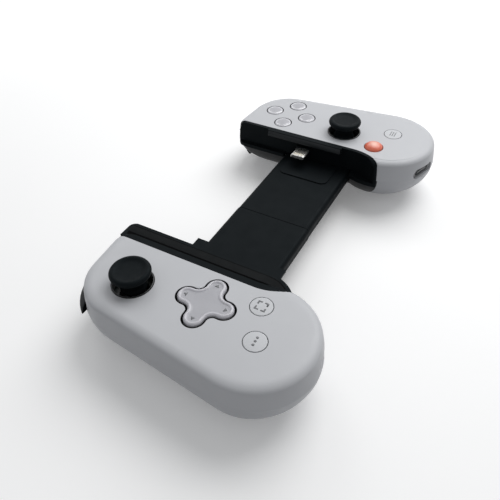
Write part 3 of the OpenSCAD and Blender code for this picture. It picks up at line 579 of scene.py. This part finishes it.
def make_marks():
    far, near, stroke = BRACKET_HALF, BRACKET_HALF - BRACKET_ARM, BRACKET_HALF - BRACKET_STROKE
    corner = [(far, far), (near, far), (near, stroke), (stroke, stroke), (stroke, near), (far, near)]
    brackets = [[(sx * x, sy * y) for x, y in corner] for sx in (-1, 1) for sy in (-1, 1)]
    stamp("capture_mark", brackets, small_top, on_face("capture_button"), "capture_button")

    dots = [[(DOT_PITCH * k + DOT_R * math.cos(a), DOT_R * math.sin(a)) for a in turns(DOT_STEPS)]
            for k in (-1, 0, 1)]
    stamp("options_mark", dots, small_top, on_face("options_button"), "options_button")

    # The lines are cut into short bars, which follow the crown
    cuts = [LINE_LENGTH * (i / LINE_CUTS - 0.5) for i in range(LINE_CUTS + 1)]
    lines = [bar(x0, x1, LINE_PITCH * k - LINE_STROKE / 2, LINE_PITCH * k + LINE_STROKE / 2)
             for k in (-1, 0, 1) for x0, x1 in zip(cuts, cuts[1:])]
    stamp("menu_mark", lines, small_top, on_face("menu_button"), "menu_button")


# Small trim: the plug's contacts and collar, the left rail's pad and its lines of painted shade, the right
# lip's pad.
# A plate's numbers are its lower face, its upper face and the rounding of its upper edge.

CONTACTS, CONTACT_PITCH, CONTACT_W, CONTACT_L = 8, 0.62, 0.36, 2.6
CONTACT_IN = 2.4
CONTACT_PLATE = (-0.05, 0.03, 0.02)
PLUG_REACH = 8.5
COLLAR_L, COLLAR_INSIDE, COLLAR_SIDE, COLLAR_RISE, COLLAR_EDGE = 1.6, 0.3, 0.4, 0.35, 0.2
# Sloped pad under the right lip, in the face frame
LIP_SECTION = [(45.5, -0.3), (45.2, -0.3), (44.5, -1.5), (44.45, -2.5), (44.6, -2.7), (45.5, -2.7)]
LIP_RUN = (-8.6, 28.6)
# Pad on the left rail: its two long edges, upper end, and the middle of the curved lower end
RAIL_Z = -1.2
RAIL_PAD_FAR, RAIL_PAD_NEAR, RAIL_PAD_TOP = 40.4, 43.8, 44.4
RAIL_TURN, RAIL_TURN_Y, RAIL_TURN_STEPS = 53.0, -16.0, 14
RAIL_PAD_PLATE = (-0.2, 0.28, 0.15)
# Lines of painted shade along both edges of that pad: in the groove by its near edge and at the step past its
# far edge
RAIL_GROOVE_W, RAIL_GROOVE_LOW, RAIL_STEP_SHADE_W = 1.4, -22.0, 0.5
RAIL_LINE_PLATE = (-0.1, 0.03, 0.01)


def rail_line(grow):
    """Far edge of the rail's pad from its top to where its curve meets the near edge."""
    r = RAIL_TURN - RAIL_PAD_FAR + grow
    last = math.acos((RAIL_TURN - RAIL_PAD_NEAR) / r)
    angles = [last * i / RAIL_TURN_STEPS for i in range(RAIL_TURN_STEPS + 1)]
    return [(grow - RAIL_PAD_FAR, RAIL_PAD_TOP)] + [
        (r * math.cos(a) - RAIL_TURN, RAIL_TURN_Y - r * math.sin(a)) for a in angles]


def make_trim():
    low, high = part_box("phone_plug")
    tip, top, mid_y = low[0] * 1000, high[2] * 1000, (low[1] + high[1]) * 500
    contact = bar(-CONTACT_L / 2, CONTACT_L / 2, -CONTACT_W / 2, CONTACT_W / 2)
    for k in range(CONTACTS):
        y = mid_y + (k - (CONTACTS - 1) / 2) * CONTACT_PITCH
        add_piece(f"plug_contact_{k + 1}", plate(contact, *CONTACT_PLATE), mm(tip + CONTACT_IN, y, top),
                  ["contact"], "right_grip")

    pad = [(-RAIL_PAD_NEAR, RAIL_PAD_TOP)] + rail_line(0)
    groove = bar(-RAIL_PAD_NEAR - RAIL_GROOVE_W, -RAIL_PAD_NEAR, RAIL_GROOVE_LOW, RAIL_PAD_TOP)
    step_shade = rail_line(0) + rail_line(RAIL_STEP_SHADE_W)[::-1]
    for name, outline, sizes, look in (
        ("left_rail_pad", pad[::-1], RAIL_PAD_PLATE, "pad"),
        # Near-black strip: painted shade in the groove beside the pad
        ("left_rail_groove", groove, RAIL_LINE_PLATE, "groove"),
        # Near-black strip: painted shade at the step past the pad's far edge
        ("left_rail_step_shade", step_shade[::-1], RAIL_LINE_PLATE, "groove"),
    ):
        add_piece(name, plate(outline, *sizes), face(0, 0, RAIL_Z), [look], "left_grip")

    lip = bmesh.new()
    ends = [[lip.verts.new((x, y, z)) for x, z in LIP_SECTION] for y in LIP_RUN]
    join_rings(lip, ends)
    for end in ends:
        lip.faces.new(end)
    add_piece("right_lip_pad", lip, face(0, 0), ["lip"], "right_grip")

    outline = bar(0, COLLAR_L + COLLAR_INSIDE,
                  low[1] * 1000 - mid_y - COLLAR_SIDE, high[1] * 1000 - mid_y + COLLAR_SIDE)
    collar = plate(outline, low[2] * 1000 - top - COLLAR_RISE, COLLAR_RISE, COLLAR_EDGE)
    add_piece("plug_collar", collar, mm(tip + PLUG_REACH - COLLAR_L, mid_y, top), ["black"],
              "right_grip")


# Stage

# The backdrop is near white where it is seen, and lights the part less than that
WORLD_COLOUR = (0.97, 0.985, 1.0, 1)
WORLD_LIGHT, WORLD_SEEN = 0.34, 0.9
FLOOR_HALF, FLOOR_DROP = 3000, 0.2
FLOOR_SEEN, FLOOR_LIGHT = (0.97, 0.97, 0.97), (0.55, 0.55, 0.56)
# The floor's own glow near the part and far from it, and where the one turns into the other
GLOW_NEAR, GLOW_FAR, GLOW_START, GLOW_STOP = 0.14, 0.58, 120, 700
# Name, place, width and watts
LAMPS = (("key_soft", (320, -70, 460), 500, 2.25), ("back_soft", (500, 600, 700), 500, 1.2))


def seen_share(tree):
    """Socket that is 1 for rays that show the backdrop and 0 for those that only light the part."""
    path = tree.nodes.new("ShaderNodeLightPath").outputs
    share = path["Is Camera Ray"]
    for ray in ("Is Glossy Ray", "Is Transmission Ray"):
        either = tree.nodes.new("ShaderNodeMath")
        either.operation = "MAXIMUM"
        tree.links.new(share, either.inputs[0])
        tree.links.new(path[ray], either.inputs[1])
        share = either.outputs[0]
    return share


def make_floor():
    mesh = bpy.data.meshes.new("floor")
    half = mm(FLOOR_HALF)
    mesh.from_pydata([(x, y, 0) for x, y in bar(-half, half, -half, half)], [], [(0, 1, 2, 3)])
    floor = bpy.data.objects.new("floor", mesh)
    floor.location.z = -mm(FLOOR_DROP)
    bpy.context.scene.collection.objects.link(floor)
    look = Look("pale_floor", FLOOR_SEEN, 0.9, Specular_IOR_Level=0.05).mottle(120, 0.006)
    seen = seen_share(look.tree)
    look.link(look.mix(seen, FLOOR_LIGHT, look.tint), look.bsdf.inputs["Base Color"])
    look.set("Emission Color", (1, 1, 1, 1))
    glow = look.spread(look.away_from(0, 0), GLOW_NEAR, GLOW_FAR, mm(GLOW_START), mm(GLOW_STOP), smooth=True)
    look.link(look.math("MULTIPLY", seen, glow), look.bsdf.inputs["Emission Strength"])
    mesh.materials.append(look.mat)


def make_world():
    world = bpy.data.worlds.new("studio")
    bpy.context.scene.world = world
    world.use_nodes = True
    tree = world.node_tree
    background = tree.nodes["Background"]
    background.inputs["Color"].default_value = WORLD_COLOUR
    strength = tree.nodes.new("ShaderNodeMapRange")
    strength.inputs["To Min"].default_value = WORLD_LIGHT
    strength.inputs["To Max"].default_value = WORLD_SEEN
    tree.links.new(seen_share(tree), strength.inputs["Value"])
    tree.links.new(strength.outputs["Result"], background.inputs["Strength"])


def make_lamps():
    for name, place, size, power in LAMPS:
        data = bpy.data.lights.new(name, "AREA")
        data.shape = "DISK"
        data.size = mm(size)
        data.energy = power
        lamp = bpy.data.objects.new(name, data)
        lamp.location = mm(*place)
        lamp.rotation_mode = "QUATERNION"
        lamp.rotation_quaternion = (-lamp.location).to_track_quat("-Z", "Y")
        bpy.context.scene.collection.objects.link(lamp)


make_camera()
for node_name, node_obj in nodes.items():
    dress(node_name, node_obj)
make_sticks()
make_round_buttons()
make_dpad()
make_marks()
make_trim()
make_floor()
make_world()
make_lamps()
bpy.context.scene.view_settings.view_transform = "Standard"
